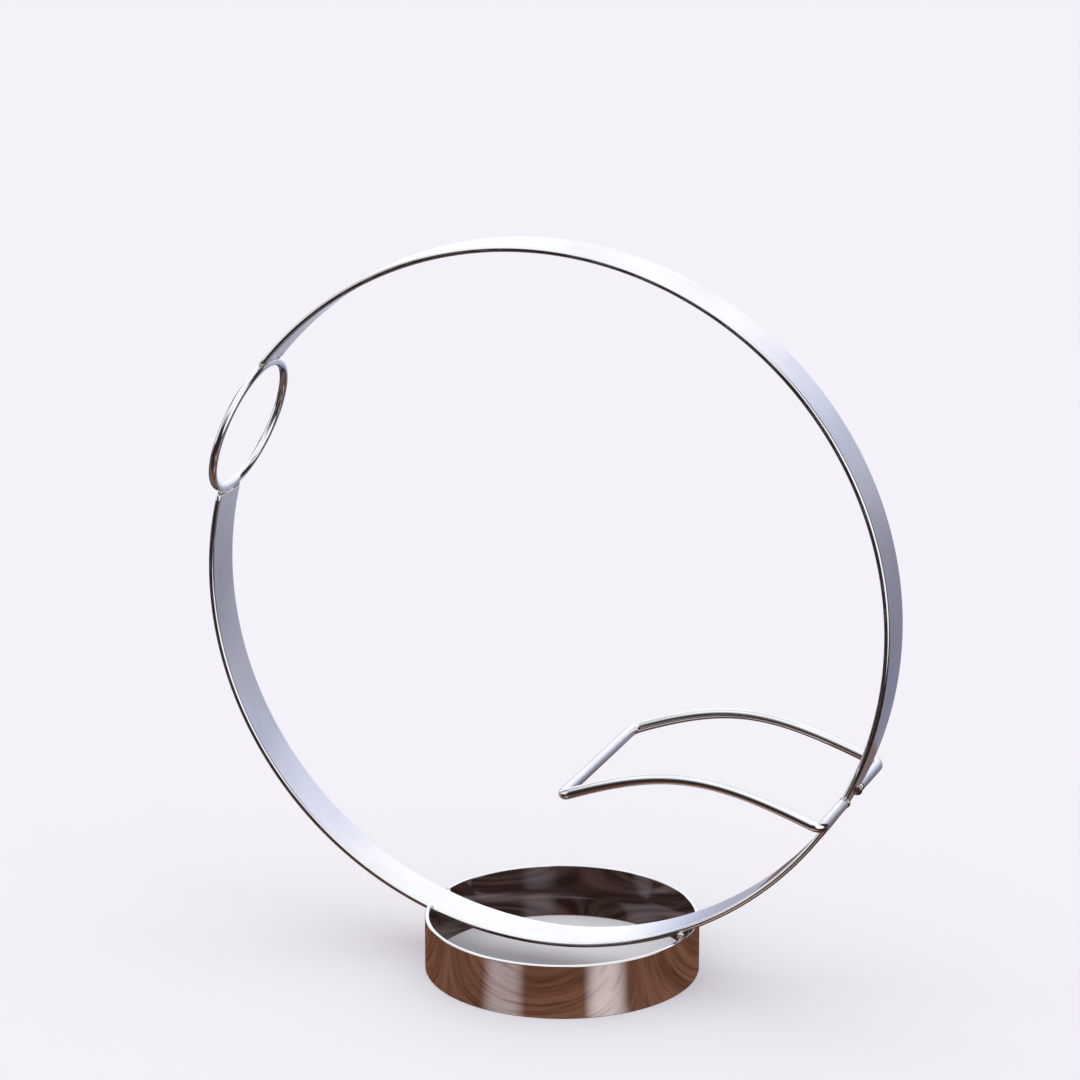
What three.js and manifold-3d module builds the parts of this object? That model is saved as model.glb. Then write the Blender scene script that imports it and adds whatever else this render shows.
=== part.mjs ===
// A wine rack that holds one bottle at a slant, welded from bright-plated steel.
//
// A flat strip is rolled into an upright hoop that stays open at its upper left. A round-wire ring
// closes the gap between the two strip ends and takes the neck of the bottle. A round-wire cradle,
// bent to a U, is welded by its two ends to the edges of the strip and carries the body of the
// bottle. A short rolled band stands on the table and carries the hoop across its rim.
//
// Millimetres, +Z up. The hoop stands in the XZ plane. Z = 0 is the table, Y = 0 is the middle of
// the strip, and X = 0 is the middle of the whole rack, within a quarter millimetre of the hoop's.

import * as THREE from 'three';
import { mergeVertices } from 'three/addons/utils/BufferGeometryUtils.js';
import Module from 'manifold-3d';

const wasm = await Module();
wasm.setup();

// ---- Driving dimensions -------------------------------------------------------------------------

// Flat strip and the hoop rolled from it
const STRIP_WIDTH = 17;
const STRIP_THICKNESS = 2;
const STRIP_EDGE_ROUNDING = 0.8;
const HOOP_RADIUS = 125;
const HOOP_CENTRE_HEIGHT = 135;
const HOOP_LOWER_END = 165.9;
const HOOP_UPPER_END = 141.6;
const CLOSING_ARC_START = 205;
const CLOSING_ARC_TIGHTER_BY = 4.6;
const OPENING_ARC_START = 60;
const OPENING_ARC_WIDER_BY = 4.2;

// Ring for the bottle's neck
const NECK_WIRE_DIAMETER = 3;
const NECK_RING_HALF_WIDTH = 25;

// U-shaped cradle for the bottle's body, seen from the side as one flat arch
const CRADLE_WIRE_DIAMETER = 3.8;
const CRADLE_ANGLE_ON_HOOP = -27.6;
const CRADLE_OUTSIDE_STRIP_MIDDLE = 0.6;
const CRADLE_HALF_WIDTH_AT_HOOP = 34.6;
const CRADLE_HALF_WIDTH_AT_TIP = 36.5;
const CRADLE_TIP = { x: 19, z: -57 };
const CRADLE_ARCH_AT_HOOP = { reach: 39.5, rise: 14.6 };
const CRADLE_ARCH_AT_TIP = { reach: 37, rise: 14.6 };
const CRADLE_CORNER_REACH = 3.6;

// Rolled band that stands on the table
const BAND_RADIUS = 48.4;
const BAND_HEIGHT = 19.5;
const BAND_THICKNESS = 1.5;
const BAND_EDGE_ROUNDING = 0.3;
const BAND_OFFSET = 5.8;

// Welds and the gap that neighbouring solids keep
const GAP = 0.3;
const RIM_BEAD = { length: 1.7, width: 1.4, height: 1.4, outsideStripEdge: 0.4 };
const RING_BEAD = { length: 1.7, width: 3.0, height: 1.9, fromMiddle: 6.2 };
const CRADLE_BEAD = { length: 2.7, width: 2.2, height: 2.7 };

// Fineness of the round surfaces
const HOOP_STEP_DEGREES = 4;
const WIRE_SIDES = 10;
const RING_STEPS = 64;
const CRADLE_STEPS = 110;
const BAND_SIDES = 72;
const BEAD_SIDES = 12;

// ---- Small helpers ------------------------------------------------------------------------------

const radians = THREE.MathUtils.degToRad;

// Points along an arc in the XY plane, ends included, a few degrees apart
function arcPoints(centre, radius, fromDegrees, toDegrees) {
  const steps = Math.max(1, Math.ceil(Math.abs(toDegrees - fromDegrees) / HOOP_STEP_DEGREES));
  const points = [];
  for (let i = 0; i <= steps; i += 1) {
    const angle = radians(fromDegrees + ((toDegrees - fromDegrees) * i) / steps);
    points.push(new THREE.Vector2(centre.x + radius * Math.cos(angle), centre.y + radius * Math.sin(angle)));
  }
  return points;
}

// A manifold-3d solid of a geometry whose faces close up
function solidFrom(geometry) {
  const bare = geometry.clone();
  bare.deleteAttribute('normal');
  bare.deleteAttribute('uv');
  const merged = mergeVertices(bare, 1e-4);
  return new wasm.Manifold(new wasm.Mesh({
    numProp: 3,
    vertProperties: Float32Array.from(merged.attributes.position.array),
    triVerts: Uint32Array.from(merged.index.array),
  }));
}

// The geometry of a manifold-3d solid
function geometryFrom(solid) {
  const mesh = solid.getMesh();
  const geometry = new THREE.BufferGeometry();
  geometry.setAttribute('position', new THREE.BufferAttribute(Float32Array.from(mesh.vertProperties), 3));
  geometry.setIndex(new THREE.BufferAttribute(Uint32Array.from(mesh.triVerts), 1));
  geometry.computeVertexNormals();
  return geometry;
}

// The first geometry with every other one cut away from it
function cutAway(geometry, cutters) {
  const result = cutters.reduce((rest, cutter) => rest.subtract(solidFrom(cutter)), solidFrom(geometry));
  return geometryFrom(result);
}

// ---- Hoop ---------------------------------------------------------------------------------------

// The hoop's three arcs, each tangent to the next, from the lower end round to the upper end. The
// closing arc is tighter than the main one and the opening arc is wider, so the two ends stand
// slightly inside and outside the circle.
function hoopArcs() {
  const centreOfTangentArc = (tangentDegrees, widerBy) => new THREE.Vector2(
    -widerBy * Math.cos(radians(tangentDegrees)),
    -widerBy * Math.sin(radians(tangentDegrees)),
  );
  return [
    {
      centre: centreOfTangentArc(CLOSING_ARC_START, -CLOSING_ARC_TIGHTER_BY),
      radius: HOOP_RADIUS - CLOSING_ARC_TIGHTER_BY,
      from: HOOP_LOWER_END,
      to: CLOSING_ARC_START,
    },
    {
      centre: new THREE.Vector2(0, 0),
      radius: HOOP_RADIUS,
      from: CLOSING_ARC_START,
      to: OPENING_ARC_START + 360,
    },
    {
      centre: centreOfTangentArc(OPENING_ARC_START, OPENING_ARC_WIDER_BY),
      radius: HOOP_RADIUS + OPENING_ARC_WIDER_BY,
      from: OPENING_ARC_START + 360,
      to: HOOP_UPPER_END + 360,
    },
  ];
}

// A point in line with the strip, past one end of it by some way. The strip runs the way its angle
// grows, so past the lower end is a turn back and past the upper end is a turn on.
function pointPastHoopEnd(arc, endDegrees, turn, distance) {
  const radius = arc.radius - STRIP_THICKNESS / 2;
  const angle = radians(endDegrees) + (turn * distance) / radius;
  return new THREE.Vector2(arc.centre.x + radius * Math.cos(angle), arc.centre.y + radius * Math.sin(angle));
}

const [closingArc, , openingArc] = hoopArcs();
const pastLowerEnd = (distance) => pointPastHoopEnd(closingArc, HOOP_LOWER_END, -1, distance);
const pastUpperEnd = (distance) => pointPastHoopEnd(openingArc, HOOP_UPPER_END, 1, distance);

// The rolled strip. With a margin it is fatter all round, which makes the cutter that leaves a gap.
function stripGeometry(margin = 0) {
  const outer = [];
  const inner = [];
  for (const arc of hoopArcs()) {
    outer.push(...arcPoints(arc.centre, arc.radius + margin, arc.from, arc.to));
    inner.push(...arcPoints(arc.centre, arc.radius - STRIP_THICKNESS - margin, arc.from, arc.to));
  }
  const geometry = new THREE.ExtrudeGeometry(new THREE.Shape([...outer, ...inner.reverse()]), {
    depth: STRIP_WIDTH + 2 * margin - 2 * STRIP_EDGE_ROUNDING,
    bevelEnabled: true,
    bevelThickness: STRIP_EDGE_ROUNDING,
    bevelSize: STRIP_EDGE_ROUNDING,
    bevelOffset: -STRIP_EDGE_ROUNDING,
    bevelSegments: 2,
  });
  geometry.translate(0, 0, STRIP_EDGE_ROUNDING - STRIP_WIDTH / 2 - margin);
  geometry.rotateX(Math.PI / 2);
  return geometry;
}

// ---- Neck ring ----------------------------------------------------------------------------------

// The wire ring, held between the two cut ends of the strip
const wireFromStripEnd = GAP + NECK_WIRE_DIAMETER / 2;
const ringTop = pastUpperEnd(wireFromStripEnd);
const ringBottom = pastLowerEnd(wireFromStripEnd);
const ringHalfHeight = ringTop.distanceTo(ringBottom) / 2;

function placeOnRing(object) {
  const middle = ringTop.clone().add(ringBottom).divideScalar(2);
  const leanFromVertical = Math.atan2(ringTop.x - ringBottom.x, ringTop.y - ringBottom.y);
  object.position.set(middle.x, 0, middle.y);
  object.rotation.y = leanFromVertical;
}

// A torus lies in XY. The turn stands it up in YZ, and the stretch makes it a slightly wide oval.
function ringGeometry(margin = 0) {
  const tubeRadius = NECK_WIRE_DIAMETER / 2 + margin;
  const geometry = new THREE.TorusGeometry(ringHalfHeight, tubeRadius, WIRE_SIDES, RING_STEPS);
  geometry.rotateY(Math.PI / 2);
  geometry.scale(1, NECK_RING_HALF_WIDTH / ringHalfHeight, 1);
  return geometry;
}

// ---- Cradle -------------------------------------------------------------------------------------

// The cradle's outline in plan and side view: out of the front edge of the strip, round the corner,
// along the front rail, across the tip, back along the rear rail and into the rear edge.
const cradleRadiusOnHoop = HOOP_RADIUS - STRIP_THICKNESS / 2 + CRADLE_OUTSIDE_STRIP_MIDDLE;
const cradleRoot = {
  x: cradleRadiusOnHoop * Math.cos(radians(CRADLE_ANGLE_ON_HOOP)),
  z: cradleRadiusOnHoop * Math.sin(radians(CRADLE_ANGLE_ON_HOOP)),
};
const cradleEndFromMiddle = STRIP_WIDTH / 2 + GAP;

// One corner of the bent wire, rounded over a short reach of the two runs that meet there
function cornerCurve(before, corner, after) {
  const towards = (target) => target.clone().sub(corner).setLength(CRADLE_CORNER_REACH).add(corner);
  return new THREE.QuadraticBezierCurve3(towards(before), corner, towards(after));
}

// The rail on one side (-1 front, 1 rear), a single arch from the hoop corner to the tip corner
function railCorners(side) {
  const atHoop = new THREE.Vector3(cradleRoot.x, side * CRADLE_HALF_WIDTH_AT_HOOP, cradleRoot.z);
  const atTip = new THREE.Vector3(CRADLE_TIP.x, side * CRADLE_HALF_WIDTH_AT_TIP, CRADLE_TIP.z);
  const handleAtHoop = new THREE.Vector3(-CRADLE_ARCH_AT_HOOP.reach, 0, CRADLE_ARCH_AT_HOOP.rise).add(atHoop);
  const handleAtTip = new THREE.Vector3(CRADLE_ARCH_AT_TIP.reach, 0, CRADLE_ARCH_AT_TIP.rise).add(atTip);
  return { atHoop, handleAtHoop, handleAtTip, atTip };
}

function cradleSide(side) {
  const rail = railCorners(side);
  const end = new THREE.Vector3(cradleRoot.x, side * cradleEndFromMiddle, cradleRoot.z);
  const tipMiddle = new THREE.Vector3(CRADLE_TIP.x, 0, CRADLE_TIP.z);
  const hoopCorner = cornerCurve(end, rail.atHoop, rail.handleAtHoop);
  const tipCorner = cornerCurve(rail.handleAtTip, rail.atTip, tipMiddle);
  return [
    new THREE.LineCurve3(end, hoopCorner.v0),
    hoopCorner,
    new THREE.CubicBezierCurve3(hoopCorner.v2, rail.handleAtHoop, rail.handleAtTip, tipCorner.v0),
    tipCorner,
    new THREE.LineCurve3(tipCorner.v2, tipMiddle),
  ];
}

// The same curve run the other way
function reversed(curve) {
  if (curve.isLineCurve3) return new THREE.LineCurve3(curve.v2, curve.v1);
  if (curve.isQuadraticBezierCurve3) return new THREE.QuadraticBezierCurve3(curve.v2, curve.v1, curve.v0);
  return new THREE.CubicBezierCurve3(curve.v3, curve.v2, curve.v1, curve.v0);
}

function cradlePath() {
  const path = new THREE.CurvePath();
  cradleSide(-1).forEach((curve) => path.add(curve));
  cradleSide(1).reverse().forEach((curve) => path.add(reversed(curve)));
  return path;
}

function cradleGeometry(margin = 0) {
  const section = new THREE.Shape();
  section.absarc(0, 0, CRADLE_WIRE_DIAMETER / 2 + margin, 0, 2 * Math.PI);
  return new THREE.ExtrudeGeometry(section, {
    steps: CRADLE_STEPS,
    curveSegments: WIRE_SIDES / 2,
    extrudePath: cradlePath(),
  });
}

// ---- Base band ----------------------------------------------------------------------------------

// The rolled band: a thin upright wall, turned about its own axis, with its edges eased
function bandGeometry(margin = 0) {
  const outside = BAND_RADIUS + margin;
  const inside = BAND_RADIUS - BAND_THICKNESS - margin;
  const top = BAND_HEIGHT + margin;
  const ease = BAND_EDGE_ROUNDING;
  const profile = [
    new THREE.Vector2(inside + ease, 0),
    new THREE.Vector2(outside - ease, 0),
    new THREE.Vector2(outside, ease),
    new THREE.Vector2(outside, top - ease),
    new THREE.Vector2(outside - ease, top),
    new THREE.Vector2(inside + ease, top),
    new THREE.Vector2(inside, top - ease),
    new THREE.Vector2(inside, ease),
    new THREE.Vector2(inside + ease, 0),
  ];
  const geometry = new THREE.LatheGeometry(profile, BAND_SIDES);
  geometry.rotateX(Math.PI / 2);
  return geometry;
}

// ---- Materials ----------------------------------------------------------------------------------

function platedSteel(color, roughness) {
  return new THREE.MeshStandardMaterial({ color, roughness, metalness: 1 });
}

const platedStrip = platedSteel(0xd9dce2, 0.08);
const platedWire = platedSteel(0xc9c8c9, 0.1);
const platedBand = platedSteel(0xcfcac6, 0.12);
const weldMetal = platedSteel(0x9a8f88, 0.35);

// ---- Assembly -----------------------------------------------------------------------------------

const rack = new THREE.Group();
const hoopFrame = new THREE.Group();
hoopFrame.position.z = HOOP_CENTRE_HEIGHT;
rack.add(hoopFrame);

function addPiece(parent, name, geometry, material) {
  const mesh = new THREE.Mesh(geometry, material);
  mesh.name = name;
  parent.add(mesh);
  return mesh;
}

// A geometry moved from its own frame to the rack's
function inRackFrame(geometry, object) {
  object.updateWorldMatrix(true, false);
  return geometry.clone().applyMatrix4(object.matrixWorld);
}

const strip = addPiece(hoopFrame, 'hoop_strip', stripGeometry(), platedStrip);
const ring = addPiece(hoopFrame, 'neck_ring', ringGeometry(), platedWire);
placeOnRing(ring);
const cradle = addPiece(hoopFrame, 'cradle_wire', cradleGeometry(), platedWire);

// The strip sits a little below the rim on one side, so the band is notched to clear it
const stripCutter = inRackFrame(stripGeometry(GAP), strip);
const bandPlace = new THREE.Matrix4().makeTranslation(BAND_OFFSET, 0, 0);
addPiece(rack, 'base_band', cutAway(bandGeometry().applyMatrix4(bandPlace), [stripCutter]), platedBand);

const ringCutter = inRackFrame(ringGeometry(GAP), ring);
const cradleCutter = inRackFrame(cradleGeometry(GAP), cradle);
const bandCutter = bandGeometry(GAP).applyMatrix4(bandPlace);

// A rounded lump of weld metal, given by half its size along X, Y and Z
function beadGeometry(bead) {
  const geometry = new THREE.SphereGeometry(1, BEAD_SIDES, BEAD_SIDES / 2);
  geometry.scale(bead.length, bead.width, bead.height);
  return geometry;
}

// Welds between the rim and the strip, one at each edge of the strip on both sides of the band.
// Where the strip passes above the rim the weld is halfway up the space between them.
function addRimWelds() {
  const wallRadius = BAND_RADIUS - BAND_THICKNESS / 2;
  for (const [sideName, side] of [['left', -1], ['right', 1]]) {
    for (const [edgeName, edge] of [['front', -1], ['rear', 1]]) {
      const y = edge * (STRIP_WIDTH / 2 + RIM_BEAD.outsideStripEdge);
      const x = BAND_OFFSET + side * Math.sqrt(wallRadius ** 2 - y ** 2);
      const stripUnderside = HOOP_CENTRE_HEIGHT - Math.sqrt(HOOP_RADIUS ** 2 - x ** 2);
      const bead = beadGeometry(RIM_BEAD);
      bead.translate(x, y, (BAND_HEIGHT + Math.max(BAND_HEIGHT, stripUnderside)) / 2);
      addPiece(rack, `rim_weld_${sideName}_${edgeName}`, cutAway(bead, [stripCutter, bandCutter]), weldMetal);
    }
  }
}

// Welds between the neck ring and each strip end, which fill the space where the ring curves away
function addRingWelds() {
  for (const [endName, place] of [['upper', pastUpperEnd(GAP)], ['lower', pastLowerEnd(GAP)]]) {
    for (const [edgeName, edge] of [['front', -1], ['rear', 1]]) {
      const bead = beadGeometry(RING_BEAD);
      bead.translate(place.x, edge * RING_BEAD.fromMiddle, HOOP_CENTRE_HEIGHT + place.y);
      addPiece(rack, `ring_weld_${endName}_${edgeName}`, cutAway(bead, [stripCutter, ringCutter]), weldMetal);
    }
  }
}

// Collars of weld round the two cradle ends, against the edges of the strip
function addCradleWelds() {
  for (const [edgeName, edge] of [['front', -1], ['rear', 1]]) {
    const bead = beadGeometry(CRADLE_BEAD);
    bead.translate(cradleRoot.x, edge * (STRIP_WIDTH / 2), HOOP_CENTRE_HEIGHT + cradleRoot.z);
    addPiece(rack, `cradle_weld_${edgeName}`, cutAway(bead, [stripCutter, cradleCutter]), weldMetal);
  }
}

addRimWelds();
addRingWelds();
addCradleWelds();

// The origin goes under the middle of the finished rack
const bounds = new THREE.Box3().setFromObject(rack);
rack.position.x = -(bounds.min.x + bounds.max.x) / 2;

export default rack;
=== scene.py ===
# The looks of a single-bottle wine rack in bright-plated steel: a strip rolled to a hoop, a wire
# ring for the bottle's neck, a bent wire cradle for its body and a rolled band as the foot, joined
# by small welds. Metres, +Z up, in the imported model's own frame.

import math
from collections import namedtuple

import bpy
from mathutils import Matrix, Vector, noise


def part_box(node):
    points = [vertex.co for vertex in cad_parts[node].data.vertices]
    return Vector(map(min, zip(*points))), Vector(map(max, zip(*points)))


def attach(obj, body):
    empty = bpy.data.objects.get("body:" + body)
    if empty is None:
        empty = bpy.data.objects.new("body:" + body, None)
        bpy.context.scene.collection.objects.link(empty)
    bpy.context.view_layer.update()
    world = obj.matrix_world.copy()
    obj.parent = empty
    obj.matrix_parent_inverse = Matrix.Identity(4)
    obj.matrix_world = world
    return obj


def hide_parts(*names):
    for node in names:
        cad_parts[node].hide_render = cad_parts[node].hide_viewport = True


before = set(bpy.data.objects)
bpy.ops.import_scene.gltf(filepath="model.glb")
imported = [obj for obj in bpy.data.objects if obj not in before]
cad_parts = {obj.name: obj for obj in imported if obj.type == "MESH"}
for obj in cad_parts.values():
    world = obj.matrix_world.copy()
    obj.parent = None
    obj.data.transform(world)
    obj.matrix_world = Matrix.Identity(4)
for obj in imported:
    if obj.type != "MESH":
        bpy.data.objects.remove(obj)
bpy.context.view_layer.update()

# ---- Driving dimensions --------------------------------------------------------------------------

MM = 0.001

# The ends of the strip and of the cradle's wire are eased by this much. A support is how far past a
# rounded corner a point holds the flat beside it flat.
END_EASE = 0.3 * MM

# Strip, and the hoop rolled from it: one main arc, a tighter one that closes it and a wider one
# that opens it. Angles are in degrees, anticlockwise from +X as seen from the front.
STRIP_WIDTH = 17 * MM
STRIP_THICKNESS = 2 * MM
STRIP_CORNER = 0.9 * MM
STRIP_SUPPORT = 0.15 * MM
HOOP_RADIUS = 125 * MM
HOOP_LOWER_END = 165.9
HOOP_UPPER_END = 141.6
CLOSING_ARC_START = 205
CLOSING_ARC_TIGHTER_BY = 4.6 * MM
OPENING_ARC_START = 60
OPENING_ARC_WIDER_BY = 4.2 * MM

# Wires
NECK_WIRE_RADIUS = 1.5 * MM
CRADLE_WIRE_RADIUS = 1.9 * MM
CRADLE_ARCH_AT_HOOP = Vector((-39.5, 0, 14.6)) * MM
CRADLE_ARCH_AT_TIP = Vector((37, 0, 14.6)) * MM
CRADLE_TIP_ABOVE_ROOT = 0.73 * MM
CRADLE_NARROWER_AT_HOOP = 1.9 * MM
CRADLE_CORNER_REACH = 3.6 * MM

# Foot band. Its lobes are how many go round it, their share of the out-of-round and their start in
# radians. The notch is where the strip crosses the rim.
BAND_THICKNESS = 1.5 * MM
BAND_RIM_ROUNDING = 0.42 * MM
BAND_FOOT_ROUNDING = 0.3 * MM
BAND_SUPPORT = 0.12 * MM
BAND_OUT_OF_ROUND = 0.07 * MM
BAND_LOBES = ((2, 0.7, 0.6), (5, 0.3, 1.0))
RIM_UNEVENNESS = 0.1
RIM_UNEVENNESS_SCALE = 4
NOTCH_CLEARANCE = 0.2 * MM
NOTCH_RAMP = 0.35 * MM

# Fineness
HOOP_STEP_DEGREES = 1.25
STRIP_CORNER_STEPS = 9
WIRE_SIDES = 32
RING_STEPS = 240
CRADLE_STEP = 0.9 * MM
BAND_STEPS = 288
BAND_CORNER_STEPS = 5
NOTCH_STEP_DEGREES = 0.15
NOTCH_STEPS_EACH_WAY = 5
WELD_VOXEL = 0.16 * MM

# Welds
WELD_MELT_ROUNDS = 8
WELD_MELT_STRENGTH = 0.5
WELD_LUMP_SIZE = 1.6 * MM
WELD_LUMP_HEIGHT = 0.1 * MM
BALL_ROWS = 10
BALL_COLUMNS = 16
BALL_POLE_GAP = 0.02

# Camera
CAMERA_AZIMUTH = 20.72
CAMERA_ELEVATION = 16.85
CAMERA_DISTANCE = 1474.8 * MM
CAMERA_LENS = 143.1
CAMERA_SENSOR = 36
CAMERA_AIM_FROM_HOOP_CENTRE = Vector((-2.56, 0, 20.95)) * MM

# ---- Meshes --------------------------------------------------------------------------------------

# One place along a swept piece: its middle, the two directions of its section and how far the
# section is drawn in there, which eases an end.
Station = namedtuple("Station", "middle across outward inset")


def mesh_object(name, points, faces, section):
    """A smooth-shaded object. Each point keeps its place in the piece's section as an attribute,
    which the materials use for the fine lines that rolling and drawing leave along the metal."""
    mesh = bpy.data.meshes.new(name)
    mesh.from_pydata(points, [], faces)
    mesh.shade_smooth()
    layer = mesh.attributes.new("section", "FLOAT_VECTOR", "POINT")
    layer.data.foreach_set("vector", [value for point in section for value in (point[0], point[1], 0)])
    mesh.validate()
    obj = bpy.data.objects.new(name, mesh)
    bpy.context.scene.collection.objects.link(obj)
    return obj


def sweep(name, stations, section_at, closed):
    """A section swept through stations. section_at(inset) gives the section's points, anticlockwise
    in its (across, outward) plane. An open sweep gets its two ends filled."""
    points, section = [], []
    for station in stations:
        outline = section_at(station.inset)
        for a, b in outline:
            points.append(station.middle + a * station.across + b * station.outward)
            section.append((a, b))
    sides = len(outline)
    rings = len(stations)
    faces = ring_faces(rings, sides, closed)
    if not closed:
        faces.append(tuple(reversed(range(sides))))
        faces.append(tuple(range((rings - 1) * sides, rings * sides)))
    return mesh_object(name, points, outward_faces(points, faces), section)


def ring_faces(rings, sides, closed):
    """The faces between rings of points, with the same number of points in every ring."""
    faces = []
    for i in range(rings if closed else rings - 1):
        here = i * sides
        there = (i + 1) % rings * sides
        for j in range(sides):
            k = (j + 1) % sides
            faces.append((here + j, here + k, there + k, there + j))
    return faces


def outward_faces(points, faces):
    """The faces, turned over if they enclose a negative volume."""
    volume = 0
    for face in faces:
        first = points[face[0]]
        for second, third in zip(face[1:], face[2:]):
            volume += first.dot(points[second].cross(points[third]))
    return faces if volume > 0 else [tuple(reversed(face)) for face in faces]


def rounded_corner(centre, radius, start, steps, support):
    """Points round a quarter turn that begins at start degrees. A support point on each side of it
    keeps the flats beside it flat under smooth shading."""
    arc = []
    for i in range(steps + 1):
        angle = math.radians(start + 90 * i / steps)
        arc.append(centre + radius * Vector((math.cos(angle), math.sin(angle))))
    begin, end = math.radians(start), math.radians(start + 90)
    before = arc[0] - support * Vector((-math.sin(begin), math.cos(begin)))
    after = arc[-1] + support * Vector((-math.sin(end), math.cos(end)))
    return [before, *arc, after]


def rounded_rectangle(half_a, half_b, corner, steps, support):
    points = []
    for sign_a, sign_b, start in ((1, 1, 0), (-1, 1, 90), (-1, -1, 180), (1, -1, 270)):
        centre = Vector((sign_a * (half_a - corner), sign_b * (half_b - corner)))
        points += rounded_corner(centre, corner, start, steps, support)
    return points


def circle(radius, sides):
    turns = [2 * math.pi * i / sides for i in range(sides)]
    return [(radius * math.cos(turn), radius * math.sin(turn)) for turn in turns]


def wire_stations(path, across, closed):
    """Stations along a wire, each square to it, turned as little as possible from one to the next.
    An open wire's ends are eased by a last, smaller ring."""
    stations = []
    count = len(path)
    for i, middle in enumerate(path):
        ahead = path[(i + 1) % count] if closed or i < count - 1 else middle
        behind = path[i - 1] if closed or i > 0 else middle
        along = (ahead - behind).normalized()
        across = (across - across.dot(along) * along).normalized()
        at_end = not closed and i in (0, count - 1)
        inset = END_EASE if at_end else 0
        stations.append(Station(middle, across, along.cross(across), inset))
    return stations


def finish_piece(piece, node, material):
    """Puts the piece in place of its CAD node."""
    piece.data.materials.clear()
    piece.data.materials.append(material)
    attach(piece, "root")
    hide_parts(node)


# ---- Hoop ----------------------------------------------------------------------------------------

Arc = namedtuple("Arc", "centre radius start end")


def find_hoop_centre():
    low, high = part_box("hoop_strip")
    return Vector((high.x - HOOP_RADIUS, 0, low.z + HOOP_RADIUS))


HOOP_CENTRE = find_hoop_centre()


def direction(degrees):
    """A unit vector in the plane of the hoop."""
    angle = math.radians(degrees)
    return Vector((math.cos(angle), 0, math.sin(angle)))


def hoop_arcs():
    """The hoop's outer line, from its lower end round to its upper end, as tangent arcs."""
    closing = HOOP_CENTRE + CLOSING_ARC_TIGHTER_BY * direction(CLOSING_ARC_START)
    opening = HOOP_CENTRE - OPENING_ARC_WIDER_BY * direction(OPENING_ARC_START)
    return [
        Arc(closing, HOOP_RADIUS - CLOSING_ARC_TIGHTER_BY, HOOP_LOWER_END, CLOSING_ARC_START),
        Arc(HOOP_CENTRE, HOOP_RADIUS, CLOSING_ARC_START, OPENING_ARC_START + 360),
        Arc(opening, HOOP_RADIUS + OPENING_ARC_WIDER_BY, OPENING_ARC_START + 360, HOOP_UPPER_END + 360),
    ]


def hoop_stations():
    """Stations along the middle of the strip's thickness. The ends are eased by a smaller ring."""
    stations = []
    for arc in hoop_arcs():
        steps = math.ceil((arc.end - arc.start) / HOOP_STEP_DEGREES)
        first = 1 if stations else 0
        for i in range(first, steps + 1):
            outward = direction(arc.start + (arc.end - arc.start) * i / steps)
            middle = arc.centre + (arc.radius - STRIP_THICKNESS / 2) * outward
            stations.append(Station(middle, Vector((0, 1, 0)), outward, 0))
    for end, turn in ((0, 1), (-1, -1)):
        station = stations[end]
        along = station.across.cross(station.outward) * turn
        stations[end] = station._replace(middle=station.middle - END_EASE * along)
        eased = station._replace(inset=END_EASE)
        if end == 0:
            stations.insert(0, eased)
        else:
            stations.append(eased)
    return stations


def strip_section(inset):
    return rounded_rectangle(
        STRIP_WIDTH / 2 - inset,
        STRIP_THICKNESS / 2 - inset,
        STRIP_CORNER - inset,
        STRIP_CORNER_STEPS,
        STRIP_SUPPORT,
    )


def make_hoop():
    return sweep("plated_hoop_strip", hoop_stations(), strip_section, closed=False)


# ---- Neck ring -----------------------------------------------------------------------------------

def make_neck_ring():
    """A wire ring in a leaning plane, a little wider than high."""
    low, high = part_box("neck_ring")
    centre = (low + high) / 2
    half_lean = (high.x - low.x) / 2 - NECK_WIRE_RADIUS
    half_rise = (high.z - low.z) / 2 - NECK_WIRE_RADIUS
    half_width = (high.y - low.y) / 2 - NECK_WIRE_RADIUS
    upward = Vector((half_lean, 0, half_rise))
    path = []
    for i in range(RING_STEPS):
        turn = 2 * math.pi * i / RING_STEPS
        path.append(centre + math.cos(turn) * upward + math.sin(turn) * Vector((0, half_width, 0)))
    axis = upward.cross(Vector((0, 1, 0)))
    stations = wire_stations(path, axis, closed=True)
    return sweep("plated_neck_ring", stations, wire_section(NECK_WIRE_RADIUS), closed=True)


def wire_section(radius):
    return lambda inset: circle(radius - inset, WIRE_SIDES)


# ---- Cradle --------------------------------------------------------------------------------------

def bezier(corners, steps):
    """Points along a Bezier curve of any degree, both ends included."""
    points = []
    for i in range(steps + 1):
        level = list(corners)
        while len(level) > 1:
            level = [a.lerp(b, i / steps) for a, b in zip(level, level[1:])]
        points.append(level[0])
    return points


def toward(start, end, distance):
    return start + (end - start).normalized() * distance


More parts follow.
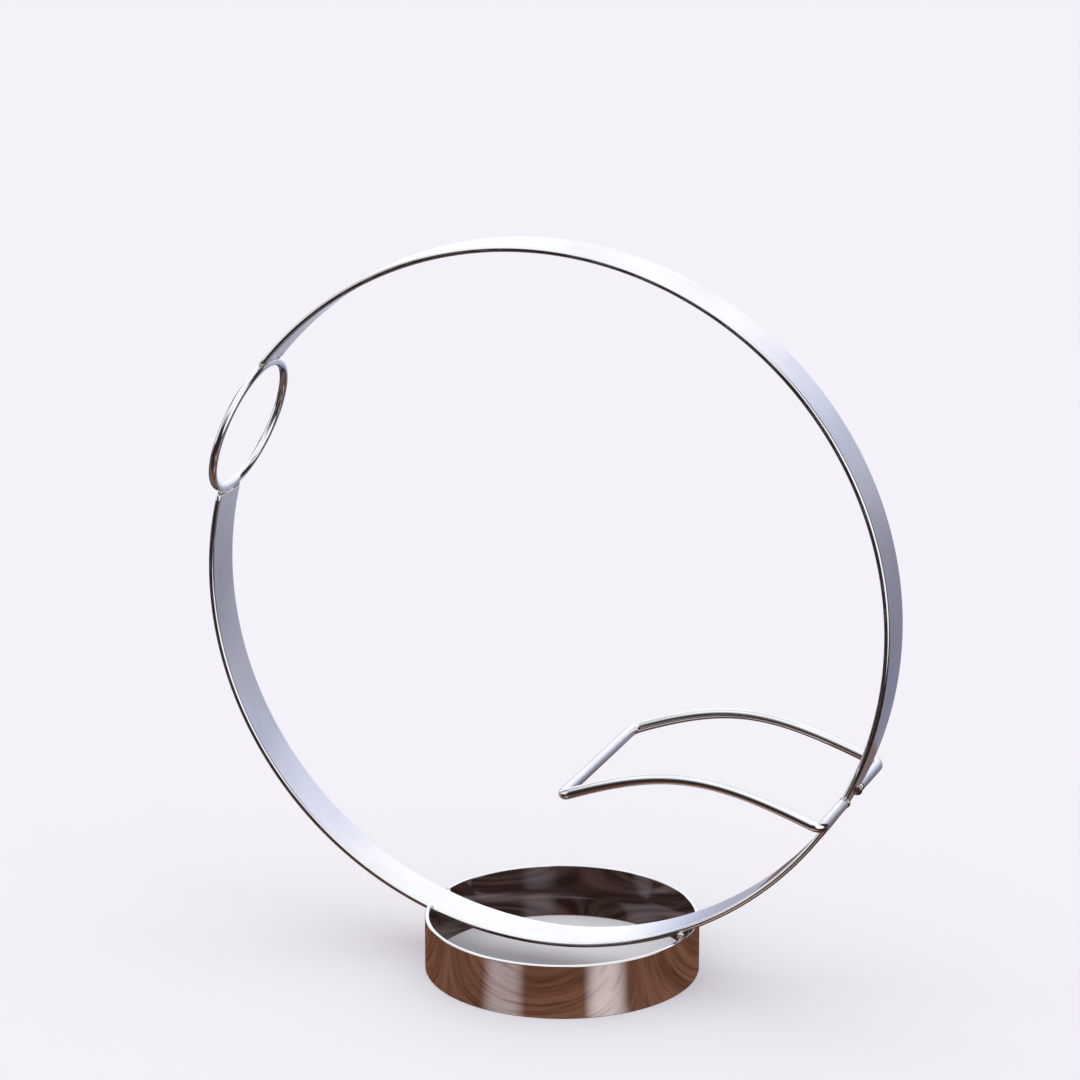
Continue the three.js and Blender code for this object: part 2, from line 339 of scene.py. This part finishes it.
def cradle_half(side):
    """The path from the strip's edge out along one rail to the middle of the tip."""
    low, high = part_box("cradle_wire")
    half_width = high.y - CRADLE_WIRE_RADIUS
    root = Vector((high.x - CRADLE_WIRE_RADIUS, side * STRIP_WIDTH / 2, low.z + CRADLE_WIRE_RADIUS))
    tip = Vector((low.x + CRADLE_WIRE_RADIUS, 0, root.z + CRADLE_TIP_ABOVE_ROOT))
    hoop_corner = Vector((root.x, side * (half_width - CRADLE_NARROWER_AT_HOOP), root.z))
    tip_corner = Vector((tip.x, side * half_width, tip.z))
    hoop_handle = hoop_corner + CRADLE_ARCH_AT_HOOP
    tip_handle = tip_corner + CRADLE_ARCH_AT_TIP
    into_hoop_corner = toward(hoop_corner, root, CRADLE_CORNER_REACH)
    out_of_hoop_corner = toward(hoop_corner, hoop_handle, CRADLE_CORNER_REACH)
    into_tip_corner = toward(tip_corner, tip_handle, CRADLE_CORNER_REACH)
    out_of_tip_corner = toward(tip_corner, tip, CRADLE_CORNER_REACH)
    runs = [
        (root, into_hoop_corner),
        (into_hoop_corner, hoop_corner, out_of_hoop_corner),
        (out_of_hoop_corner, hoop_handle, tip_handle, into_tip_corner),
        (into_tip_corner, tip_corner, out_of_tip_corner),
        (out_of_tip_corner, tip),
    ]
    path = [root]
    for corners in runs:
        span = sum((b - a).length for a, b in zip(corners, corners[1:]))
        steps = max(2, round(span / CRADLE_STEP))
        if len(corners) == 3:
            steps *= 2
        path += bezier(corners, steps)[1:]
    return path


def make_cradle():
    front, rear = cradle_half(-1), cradle_half(1)
    path = front + rear[-2::-1]
    stations = wire_stations(path, Vector((1, 0, 0)), closed=False)
    return sweep("plated_cradle_wire", stations, wire_section(CRADLE_WIRE_RADIUS), closed=False)


# ---- Foot band -----------------------------------------------------------------------------------

def strip_underside(x):
    """Height of the hoop's outer face above the table at x."""
    return HOOP_CENTRE.z - math.sqrt(HOOP_RADIUS ** 2 - (x - HOOP_CENTRE.x) ** 2)


def rim_height(point, height):
    """The rim is level, but is notched where the strip lies lower than it."""
    seat = strip_underside(point.x)
    if seat >= height:
        return height
    from_notch = abs(point.y) - STRIP_WIDTH / 2
    share = min(max(from_notch / NOTCH_RAMP, 0), 1)
    return seat + (height - seat) * share


def band_turns(half_notch):
    """Angles of the columns round the band, with more of them at the edges of the notch."""
    turns = {360 * i / BAND_STEPS for i in range(BAND_STEPS)}
    for edge in (180 - half_notch, 180 + half_notch):
        for i in range(-NOTCH_STEPS_EACH_WAY, NOTCH_STEPS_EACH_WAY + 1):
            turns.add(edge + NOTCH_STEP_DEGREES * i)
    return sorted(turns)


def make_band():
    """The rolled wall, a ring of upright sections. It is very slightly out of round, as rolled
    stock is, and its rim is eased by hand to an edge that isn't quite even."""
    low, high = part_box("base_band")
    centre = (low + high) / 2
    outside = (high.y - low.y) / 2 - BAND_OUT_OF_ROUND
    height = high.z
    half_notch = math.degrees(math.asin((STRIP_WIDTH / 2 + NOTCH_CLEARANCE) / outside))
    points, section = [], []
    turns = band_turns(half_notch)
    for degrees in turns:
        turn = math.radians(degrees)
        spoke = Vector((math.cos(turn), math.sin(turn), 0))
        lobes = sum(share * math.cos(count * turn + start) for count, share, start in BAND_LOBES)
        wobble = BAND_OUT_OF_ROUND * lobes
        ease = BAND_RIM_ROUNDING * (1 + RIM_UNEVENNESS * noise.noise(spoke * RIM_UNEVENNESS_SCALE))
        outline = band_outline(outside + wobble, height, ease)
        for radius, z, rise in outline:
            column = Vector((centre.x, 0, 0)) + radius * spoke
            top = rim_height(column, height)
            column.z = z if rise == 0 else z + (top - height) * rise
            points.append(column)
            section.append((radius, column.z))
    faces = ring_faces(len(turns), len(outline), closed=True)
    return mesh_object("plated_base_band", points, outward_faces(points, faces), section)


def band_outline(outside, height, rim_ease):
    """(radius, height, share of the notch's drop) round the wall's section."""
    middle = outside - BAND_THICKNESS / 2
    half = BAND_THICKNESS / 2
    outline = []
    corners = (
        (1, height, rim_ease, 0, 1),
        (-1, height, rim_ease, 90, 1),
        (-1, 0, BAND_FOOT_ROUNDING, 180, 0),
        (1, 0, BAND_FOOT_ROUNDING, 270, 0),
    )
    for side, z, ease, start, rise in corners:
        inward = -ease if z else ease
        centre = Vector((middle + side * (half - ease), z + inward))
        corner = rounded_corner(centre, ease, start, BAND_CORNER_STEPS, BAND_SUPPORT)
        outline += [(point.x, point.y, rise) for point in corner]
    return outline


# ---- Welds ---------------------------------------------------------------------------------------

Lump = namedtuple("Lump", "offset radii")


def ball_mesh(lumps, middle):
    """Points and faces of several overlapping ellipsoids."""
    rows, columns = BALL_ROWS, BALL_COLUMNS
    points, faces = [], []
    for lump in lumps:
        first = len(points)
        for i in range(rows + 1):
            polar = math.pi * (i + BALL_POLE_GAP) / (rows + 2 * BALL_POLE_GAP)
            for j in range(columns):
                turn = 2 * math.pi * j / columns
                unit = Vector((
                    math.sin(polar) * math.cos(turn),
                    math.sin(polar) * math.sin(turn),
                    math.cos(polar),
                ))
                points.append(middle + lump.offset + unit * lump.radii)
        for i in range(rows):
            for j in range(columns):
                k = (j + 1) % columns
                here, there = first + i * columns, first + (i + 1) * columns
                faces.append((here + j, there + j, there + k, here + k))
        faces.append(tuple(first + j for j in range(columns)))
        faces.append(tuple(first + rows * columns + j for j in reversed(range(columns))))
    return points, faces


def make_weld(node, lumps):
    """A bead of weld metal: overlapping drops melted into one lump, with a slightly uneven skin."""
    low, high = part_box(node)
    points, faces = ball_mesh(lumps, (low + high) / 2)
    piece = mesh_object("plated_" + node, points, faces, [(0, 0)] * len(points))
    fuse = piece.modifiers.new("fuse", "REMESH")
    fuse.mode = "VOXEL"
    fuse.voxel_size = WELD_VOXEL
    melt = piece.modifiers.new("melt", "SMOOTH")
    melt.iterations = WELD_MELT_ROUNDS
    melt.factor = WELD_MELT_STRENGTH
    bpy.context.view_layer.update()
    evaluated = piece.evaluated_get(bpy.context.evaluated_depsgraph_get())
    mesh = bpy.data.meshes.new_from_object(evaluated)
    piece.modifiers.clear()
    piece.data = mesh
    for vertex in mesh.vertices:
        vertex.co += vertex.normal * noise.noise(vertex.co / WELD_LUMP_SIZE) * WELD_LUMP_HEIGHT
    mesh.shade_smooth()
    return piece


def rim_weld_lumps(place, edge):
    """A small drop at the crossing of the strip's edge and the rim. At the right it stands in the
    space between the rim and the strip, which passes above it."""
    inward = -edge * 0.6
    if place == "left":
        return [Lump(Vector((0.2, inward, -1.5)) * MM, Vector((1.25, 1.0, 0.95)) * MM)]
    return [
        Lump(Vector((0.1, inward, 0.5)) * MM, Vector((1.4, 1.0, 1.0)) * MM),
        Lump(Vector((0, inward, -0.5)) * MM, Vector((1.5, 1.0, 1.0)) * MM),
    ]


def ring_weld_lumps(place, edge):
    """A fillet along the strip's cut end, which grows towards its corner as the ring curves away.
    Each drop is given by how far out it lies, how far past the end and its relative size."""
    past_end = direction(HOOP_UPPER_END + 90 if place == "upper" else HOOP_LOWER_END - 90)
    drops = ((-3.0, -0.3, 0.85), (-1.8, -0.15, 0.95), (-0.6, 0.1, 1.0), (0.5, 0.35, 1.0))
    lumps = []
    for out, past, size in drops:
        offset = Vector((0, edge * out, 0)) + past * past_end
        lumps.append(Lump(offset * MM, Vector((1.15, 1.35, 1.15)) * size * MM))
    return lumps


def cradle_weld_lumps(place, edge):
    """A thin, smooth collar round the end of the wire. The rear one has run down a little."""
    collar = Lump(Vector((0, -edge * 0.9, 0)) * MM, Vector((2.1, 1.1, 2.1)) * MM)
    if edge < 0:
        return [collar]
    return [collar, Lump(Vector((0, -0.5, -0.7)) * MM, Vector((1.8, 1.6, 1.7)) * MM)]


def make_welds():
    silver = weld_metal("weld_metal", tone=(0.78, 0.77, 0.76), tinted_tone=(0.60, 0.56, 0.51))
    heated = weld_metal("weld_metal_tinted", tone=(0.50, 0.42, 0.37), tinted_tone=(0.30, 0.21, 0.17))
    kinds = (
        ("rim_weld", ("left", "right"), rim_weld_lumps, silver),
        ("ring_weld", ("upper", "lower"), ring_weld_lumps, silver),
        ("cradle_weld", (None,), cradle_weld_lumps, heated),
    )
    for kind, places, lumps, material in kinds:
        for place in places:
            for edge_name, edge in (("front", -1), ("rear", 1)):
                node = "_".join(filter(None, (kind, place, edge_name)))
                finish_piece(make_weld(node, lumps(place, edge)), node, material)


# ---- Materials -----------------------------------------------------------------------------------

# A Mix node's sockets by number, because its number, vector and colour sockets share their names
MIX_FIRST_COLOUR = 6
MIX_SECOND_COLOUR = 7
MIX_COLOUR_RESULT = 2

# Plating: handling haze, pin marks and waves by how many go in a metre, and the stock's own lines
HAZE_PER_METRE = 34
MARKS_PER_METRE = 900
WAVES_PER_METRE = 55
MARK_DEPTH = 0.0008 * MM
DRAWN_LINE_PITCH = 0.16 * MM
DRAWN_LINE_DRIFT = 24 * MM
PLATE_TONE = (0.86, 0.86, 0.87)
PLATE_WORN_TONE = (0.74, 0.74, 0.76)

# Weld metal
TINT_PATCHES_PER_METRE = 420
WELD_SKIN_PER_METRE = 700
WELD_SKIN_DEPTH = 0.01 * MM


class Shader:
    """The nodes of a material or a world, added one at a time. An input is a plain value or another
    node's output."""

    def __init__(self, name, kind=bpy.data.materials):
        self.owner = kind.new(name)
        self.owner.use_nodes = True
        self.tree = self.owner.node_tree
        self.tree.nodes.clear()

    def add(self, kind, inputs=None, output=0, **settings):
        """A new node. Returns one of its outputs, or None if it has none."""
        node = self.tree.nodes.new("ShaderNode" + kind)
        for key, value in settings.items():
            setattr(node, key, value)
        for key, value in (inputs or {}).items():
            if isinstance(value, bpy.types.NodeSocket):
                self.tree.links.new(value, node.inputs[key])
            else:
                node.inputs[key].default_value = value
        return node.outputs[output] if node.outputs else None

    def math(self, operation, first, second=0.0):
        return self.add("Math", {0: first, 1: second}, operation=operation)

    def vector(self, operation, first, second=(0, 0, 0)):
        return self.add("VectorMath", {0: first, 1: second}, operation=operation)

    def dot(self, first, second):
        return self.add("VectorMath", {0: first, 1: second}, output="Value", operation="DOT_PRODUCT")

    def spread(self, value, low, high, to_low, to_high, **settings):
        """The value, spread from one range to another and held inside it."""
        inputs = {"Value": value, "From Min": low, "From Max": high, "To Min": to_low, "To Max": to_high}
        return self.add("MapRange", inputs, **settings)

    def place(self):
        return self.add("TexCoord", output="Object")

    def grained_place(self, scale):
        """Places scaled more along one axis than the other, which draws a noise out into grain. The
        turn comes after the scale, so it only picks another part of the noise."""
        turned = (0, 0, -math.radians(CAMERA_AZIMUTH))
        return self.add("Mapping", {"Vector": self.place(), "Rotation": turned, "Scale": scale})

    def noise(self, vector, scale, detail=3.0, roughness=0.5):
        inputs = {"Vector": vector, "Scale": scale, "Detail": detail, "Roughness": roughness}
        return self.add("TexNoise", inputs, output="Fac")

    def lines(self, pitch, drift):
        """Fine lines that follow the metal, one per pitch across its section. They wander and fade
        over the drift length."""
        section = self.add("Attribute", output="Vector", attribute_name="section")
        fine = self.vector("MULTIPLY", section, (1 / pitch,) * 3)
        slow = self.vector("MULTIPLY", self.place(), (1 / drift,) * 3)
        return self.noise(self.vector("ADD", fine, slow), 1, detail=2)

    def bump(self, height, distance, under=None):
        """Bumps of a height of up to distance, on top of those under them."""
        inputs = {"Height": height, "Strength": 1, "Distance": distance}
        if under:
            inputs["Normal"] = under
        return self.add("Bump", inputs)

    def mix(self, share, first, second):
        """One colour turning into another as the share grows from 0 to 1."""
        inputs = {0: share, MIX_FIRST_COLOUR: opaque(first), MIX_SECOND_COLOUR: opaque(second)}
        return self.add("Mix", inputs, output=MIX_COLOUR_RESULT, data_type="RGBA")

    def ramp(self, level, stops):
        """A colour that runs smoothly through stops as the level grows from 0 to 1."""
        colour = self.add("ValToRGB", {"Fac": level}, output="Color")
        ramp = colour.node.color_ramp
        ramp.interpolation = "CARDINAL"
        while len(ramp.elements) < len(stops):
            ramp.elements.new(0.5)
        for element, (position, tone) in zip(ramp.elements, stops):
            element.position = position
            element.color = opaque(tone)
        return colour

    def finish(self, surface):
        kind = "World" if isinstance(self.owner, bpy.types.World) else "Material"
        self.add("Output" + kind, {"Surface": surface})
        return self.owner


def opaque(colour):
    """A plain colour with its alpha. Another node's output passes through as it is."""
    return colour if isinstance(colour, bpy.types.NodeSocket) else (*colour, 1)


def plated_metal(name, smooth, hazy, waviness, line_depth):
    """Bright plating: a mirror with a faint haze of handling marks, the stock's own drawing lines
    under the plate, sparse pin marks and a slow waviness that bends what it mirrors."""
    shader = Shader(name)
    place = shader.place()
    haze = shader.noise(place, HAZE_PER_METRE, detail=5, roughness=0.6)
    lines = shader.lines(DRAWN_LINE_PITCH, DRAWN_LINE_DRIFT)
    marks = shader.noise(place, MARKS_PER_METRE, detail=2)
    wave = shader.noise(place, WAVES_PER_METRE, detail=1)
    haze_share = shader.spread(haze, 0.42, 0.72, 0, 1)
    line_share = shader.spread(lines, 0.5, 0.75, 0, 0.5)
    worn = shader.math("MAXIMUM", haze_share, line_share)
    waved = shader.bump(wave, waviness)
    lined = shader.bump(lines, line_depth, under=waved)
    surface = shader.add("BsdfPrincipled", {
        "Base Color": shader.mix(worn, PLATE_TONE, PLATE_WORN_TONE),
        "Metallic": 1,
        "Roughness": shader.spread(worn, 0, 1, smooth, hazy),
        "Normal": shader.bump(marks, MARK_DEPTH, under=lined),
    })
    return shader.finish(surface)


def weld_metal(name, tone, tinted_tone):
    """Weld metal under thin plating: uneven, duller than the stock and tinted by the heat in
    patches."""
    shader = Shader(name)
    place = shader.place()
    patch = shader.noise(place, TINT_PATCHES_PER_METRE, detail=4, roughness=0.6)
    skin = shader.noise(place, WELD_SKIN_PER_METRE, detail=2)
    surface = shader.add("BsdfPrincipled", {
        "Base Color": shader.mix(shader.spread(patch, 0.38, 0.68, 0, 1), tone, tinted_tone),
        "Metallic": 1,
        "Roughness": shader.spread(patch, 0.3, 0.7, 0.22, 0.4),
        "Normal": shader.bump(skin, WELD_SKIN_DEPTH),
    })
    return shader.finish(surface)


# ---- Studio --------------------------------------------------------------------------------------

# The floor that the camera sees
FLOOR_HALF_SIDE = 14
FLOOR_TONE = (0.90, 0.875, 0.935)

# The room that the plating mirrors begins with a table, and streaks of light on it: which way the
# band's wall faces where it mirrors the streak, in degrees round from the camera's side, then half
# the streak's width in degrees and its light
TABLE_HALF_WIDTH = 1.6
TABLE_NEAR = -0.3
TABLE_FAR = 0.15
TABLE_HEIGHT = 0.2 * MM
WOOD_TONE = (0.215, 0.098, 0.060)
WOOD_GRAIN_TONE = (0.105, 0.040, 0.023)
# Further off, the table is painted dark beside and in front of the rack, and painted lighter behind it as a
# painted glare of the bright wall
TABLE_BESIDE_TONE = (0.030, 0.020, 0.018)
TABLE_BEHIND_GLARE_TONE = (0.200, 0.142, 0.148)
WOOD_SCALE = (5, 95, 1)
TABLE_GRAIN_FADES = (0.09, 0.2)
TABLE_BEHIND_BEGINS = (-0.02, 0.08)
TABLE_GLARES = (
    (-25, 10, (0.30, 0.283, 0.30)),
    (18, 10, (0.54, 0.52, 0.525)),
)

# The part of that table inside the band, which lies in shadow
SHADOW_HEIGHT = 0.4 * MM
SHADOW_SIDES = 64
SHADOW_TONE = (0.022, 0.011, 0.009)
SHADOW_GRAIN_TONE = (0.078, 0.047, 0.042)
SHADOW_SCALE = (260, 22, 1)
SHADOW_GLARES = (
    (10, 9, (0.060, 0.052, 0.057)),
    (-38, 8, (0.060, 0.052, 0.057)),
)

# The wall behind the rack, from dark to bright. It grows brighter to the left and upwards.
WALL_STOPS = (
    (0.00, (0.118, 0.124, 0.188)),
    (0.36, (0.309, 0.314, 0.384)),
    (0.60, (0.502, 0.526, 0.646)),
    (0.83, (0.728, 0.743, 0.857)),
    (1.00, (0.915, 0.920, 0.945)),
)
WALL_STRENGTH = 1.25
WALL_LEVEL_AT_ORIGIN = 0.5575
WALL_LEVEL_PER_METRE = (-1.031, 0, 1.1875)
WALL_DIMS_TO_LEFT = (-0.15, -0.4)
WALL_DIMS_DOWNWARDS = (0.15, -0.1)
WALL_DIMMED_BY = 1.15
WALL_DISTANCE = 0.6
WALL_LEFT, WALL_RIGHT = -1.5, 0.5
WALL_BOTTOM, WALL_TOP = -0.5, 1.5

# Other bright parts of the room: azimuth and elevation of the middle, how far round it stays bright
# and how far out it fades, all in degrees, and its light. Azimuth 0 is in front, 90 to the right.
BRIGHT_PARTS = (
    (0, 75, 35, 62, 1.15),
    (66, 8, 31, 44, 1.15),
    (-69, 9, 22, 31, 0.95),
    (-10, 40, 12, 36, 0.5),
)
BRIGHT_TONE = (0.98, 0.985, 1)
DARK_ROOM = (0.028, 0.028, 0.033)

# The soft box above the rack, which lights the floor
SOFTBOX_ELEVATION = 82
SOFTBOX_DISTANCE = 1.4
SOFTBOX_WIDTH = 1.0
SOFTBOX_HEIGHT = 0.8
SOFTBOX_RADIANCE = 0.2


def bearing(azimuth, elevation):
    """Unit vector from the rack. Azimuth 0 is in front of it and 90 to its right."""
    a, e = math.radians(azimuth), math.radians(elevation)
    return Vector((math.sin(a) * math.cos(e), -math.cos(a) * math.cos(e), math.sin(e)))


def face_along(obj, back, distance):
    """Puts a camera or light out along back from the hoop, looking in."""
    obj.location += HOOP_CENTRE + back * distance
    obj.rotation_mode = "QUATERNION"
    obj.rotation_quaternion = (-back).to_track_quat("-Z", "Y")
    bpy.context.scene.collection.objects.link(obj)


def add_camera():
    data = bpy.data.cameras.new("camera")
    data.lens = CAMERA_LENS
    data.sensor_width = CAMERA_SENSOR
    camera = bpy.data.objects.new("camera", data)
    camera.location = CAMERA_AIM_FROM_HOOP_CENTRE
    face_along(camera, bearing(CAMERA_AZIMUTH, CAMERA_ELEVATION), CAMERA_DISTANCE)
    bpy.context.scene.camera = camera


def stage_sheet(name, corners, material):
    """A flat stage sheet."""
    mesh = bpy.data.meshes.new(name)
    mesh.from_pydata(corners, [], [tuple(range(len(corners)))])
    mesh.materials.append(material)
    sheet = bpy.data.objects.new(name, mesh)
    bpy.context.scene.collection.objects.link(sheet)
    return sheet


def mirrored_sheet(name, corners, material):
    """A stage sheet that shows in the plating and nowhere else."""
    sheet = stage_sheet(name, corners, material)
    sheet.visible_camera = False
    sheet.visible_diffuse = False
    sheet.visible_shadow = False


def rectangle(half_x, near_y, far_y, z, turn=0.0):
    """Corners of a level rectangle, turned about Z."""
    corners = ((-half_x, near_y), (half_x, near_y), (half_x, far_y), (-half_x, far_y))
    cos, sin = math.cos(turn), math.sin(turn)
    return [(x * cos - y * sin, x * sin + y * cos, z) for x, y in corners]


def add_floor():
    """A plain pale floor. The plating doesn't mirror it: it mirrors the dark table instead."""
    shader = Shader("pale_floor")
    surface = shader.add("BsdfDiffuse", {"Color": opaque(FLOOR_TONE)})
    corners = rectangle(FLOOR_HALF_SIDE, -FLOOR_HALF_SIDE, FLOOR_HALF_SIDE, 0)
    floor = stage_sheet("floor", corners, shader.finish(surface))
    floor.visible_glossy = False


def band_middle():
    low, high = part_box("base_band")
    return Vector(((low.x + high.x) / 2, 0, 0))


def band_radius():
    low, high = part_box("base_band")
    return (high.y - low.y) / 2


def glare(shader, normal_degrees, half_width_degrees, light, radius):
    """A streak of light across the mirrored table, as a soft box leaves on a polished top. It is
    laid so that the band's wall mirrors it as an upright stripe, where the wall faces
    normal_degrees round from the camera's side. The wall's hollow side has a negative radius,
    and its streak narrows to a waist half way to the middle."""
    facing = bearing(CAMERA_AZIMUTH + normal_degrees, 0)
    run = bearing(CAMERA_AZIMUTH + 2 * normal_degrees, 0)
    apex = band_middle() + facing * radius - run * radius / 2
    heading = shader.vector("NORMALIZE", shader.vector("SUBTRACT", shader.place(), apex))
    along = shader.dot(heading, run)
    if radius < 0:
        along = shader.math("ABSOLUTE", along)
    edge = math.cos(math.radians(half_width_degrees * 2))
    core = math.cos(math.radians(half_width_degrees * 0.1))
    share = shader.spread(along, edge, core, 0, 1, interpolation_type="SMOOTHSTEP")
    return shader.vector("MULTIPLY", share, light)


def lit_by(shader, colour, glares, radius):
    """The colour with every glare added to it."""
    for normal_degrees, half_width_degrees, light in glares:
        streak = glare(shader, normal_degrees, half_width_degrees, light, radius)
        colour = shader.vector("ADD", colour, streak)
    return colour


def add_mirrored_table():
    """A dark, polished wooden table top on a glowing sheet whose light is painted in: grained, with painted
    streaks of light near the rack, and plainer further off, where it is painted dark beside and in front of
    the rack and painted lighter behind it as a painted glare of the bright wall.
    """
    shader = Shader("mirrored_table")
    grain_place = shader.grained_place(WOOD_SCALE)
    broad = shader.noise(grain_place, 1, detail=4, roughness=0.6)
    fine = shader.noise(grain_place, 4.5, detail=3, roughness=0.6)
    wood = shader.mix(shader.spread(broad, 0.35, 0.68, 0, 1), WOOD_TONE, WOOD_GRAIN_TONE)
    pores = shader.spread(fine, 0.52, 0.68, 1, 0.45)
    near = shader.vector("MULTIPLY", lit_by(shader, wood, TABLE_GLARES, band_radius()), pores)
    # Painted light and shade further off: dark beside and in front of the rack, and a painted glare of the
    # wall behind it
    depth = shader.dot(shader.place(), -bearing(CAMERA_AZIMUTH, 0))
    far = shader.mix(shader.spread(depth, *TABLE_BEHIND_BEGINS, 0, 1), TABLE_BESIDE_TONE, TABLE_BEHIND_GLARE_TONE)
    distance = shader.add("VectorMath", {0: shader.place()}, output="Value", operation="LENGTH")
    colour = shader.mix(shader.spread(distance, *TABLE_GRAIN_FADES, 0, 1), near, far)
    # The sheet glows with this painted light; no lamp lights it
    surface = shader.add("Emission", {"Color": colour})
    turn = math.radians(CAMERA_AZIMUTH)
    corners = rectangle(TABLE_HALF_WIDTH, TABLE_NEAR, TABLE_FAR, TABLE_HEIGHT, turn)
    mirrored_sheet("mirrored_table", corners, shader.finish(surface))


def add_mirrored_shadow():
    """The table inside the band, where little light gets in."""
    shader = Shader("mirrored_shadow")
    radius = band_radius() - BAND_THICKNESS
    grain = shader.noise(shader.grained_place(SHADOW_SCALE), 1, detail=2)
    dark = shader.mix(shader.spread(grain, 0.42, 0.68, 0, 1), SHADOW_TONE, SHADOW_GRAIN_TONE)
    surface = shader.add("Emission", {"Color": lit_by(shader, dark, SHADOW_GLARES, -radius)})
    middle = band_middle()
    corners = [(middle.x + x, y, SHADOW_HEIGHT) for x, y in circle(radius, SHADOW_SIDES)]
    mirrored_sheet("mirrored_shadow", corners, shader.finish(surface))


def add_mirrored_wall():
    """The pale wall behind the rack. It is dimmer low down at the far left."""
    shader = Shader("mirrored_wall")
    place = shader.place()
    growth = shader.dot(place, WALL_LEVEL_PER_METRE)
    across = shader.add("SeparateXYZ", {0: place}, output="X")
    height = across.node.outputs["Z"]
    far_left = shader.spread(across, *WALL_DIMS_TO_LEFT, 0, 1)
    low_down = shader.spread(height, *WALL_DIMS_DOWNWARDS, 0, WALL_DIMMED_BY)
    level = shader.math("ADD", growth, WALL_LEVEL_AT_ORIGIN)
    level = shader.math("SUBTRACT", level, shader.math("MULTIPLY", far_left, low_down))
    colour = shader.ramp(level, WALL_STOPS)
    surface = shader.add("Emission", {"Color": colour, "Strength": WALL_STRENGTH})
    corners = [
        (WALL_LEFT, WALL_DISTANCE, WALL_BOTTOM),
        (WALL_RIGHT, WALL_DISTANCE, WALL_BOTTOM),
        (WALL_RIGHT, WALL_DISTANCE, WALL_TOP),
        (WALL_LEFT, WALL_DISTANCE, WALL_TOP),
    ]
    mirrored_sheet("mirrored_wall", corners, shader.finish(surface))


def add_world():
    """A plain pale studio, and the dim room with a few bright parts that the plating mirrors."""
    shader = Shader("studio", bpy.data.worlds)
    towards = shader.add("TexCoord", output="Generated")
    total = 0.0
    for azimuth, elevation, full, faded, light in BRIGHT_PARTS:
        near = shader.dot(towards, bearing(azimuth, elevation))
        low, high = math.cos(math.radians(faded)), math.cos(math.radians(full))
        share = shader.spread(near, low, high, 0, light, interpolation_type="SMOOTHSTEP")
        total = shader.math("MAXIMUM", share, total)
    bright = shader.add("Background", {"Color": opaque(BRIGHT_TONE), "Strength": total})
    dark = shader.add("Background", {"Color": opaque(DARK_ROOM)})
    mirrored_room = shader.add("AddShader", {0: bright, 1: dark})
    pale_studio = shader.add("Background", {"Color": (1, 1, 1, 1)})
    glossy_ray = shader.add("LightPath", output="Is Glossy Ray")
    surface = shader.add("MixShader", {0: glossy_ray, 1: pale_studio, 2: mirrored_room})
    bpy.context.scene.world = shader.finish(surface)


def add_softbox():
    """A soft box over the rack. The plating doesn't mirror it."""
    data = bpy.data.lights.new("softbox_above", "AREA")
    data.shape = "RECTANGLE"
    data.size = SOFTBOX_WIDTH
    data.size_y = SOFTBOX_HEIGHT
    data.energy = SOFTBOX_RADIANCE * math.pi * SOFTBOX_WIDTH * SOFTBOX_HEIGHT
    box = bpy.data.objects.new("softbox_above", data)
    box.visible_glossy = False
    face_along(box, bearing(0, SOFTBOX_ELEVATION), SOFTBOX_DISTANCE)


def add_studio():
    add_floor()
    add_mirrored_table()
    add_mirrored_shadow()
    add_mirrored_wall()
    add_world()
    add_softbox()
    bpy.context.scene.view_settings.view_transform = "Standard"


# ---- The rack ------------------------------------------------------------------------------------

plated_strip = plated_metal(
    "plated_strip", smooth=0.035, hazy=0.11, waviness=0.006 * MM, line_depth=0.0006 * MM
)
plated_wire = plated_metal(
    "plated_wire", smooth=0.04, hazy=0.12, waviness=0.002 * MM, line_depth=0.0003 * MM
)
plated_band = plated_metal(
    "plated_band", smooth=0.04, hazy=0.13, waviness=0.008 * MM, line_depth=0.0006 * MM
)

add_camera()
finish_piece(make_hoop(), "hoop_strip", plated_strip)
finish_piece(make_neck_ring(), "neck_ring", plated_wire)
finish_piece(make_cradle(), "cradle_wire", plated_wire)
finish_piece(make_band(), "base_band", plated_band)
make_welds()
add_studio()
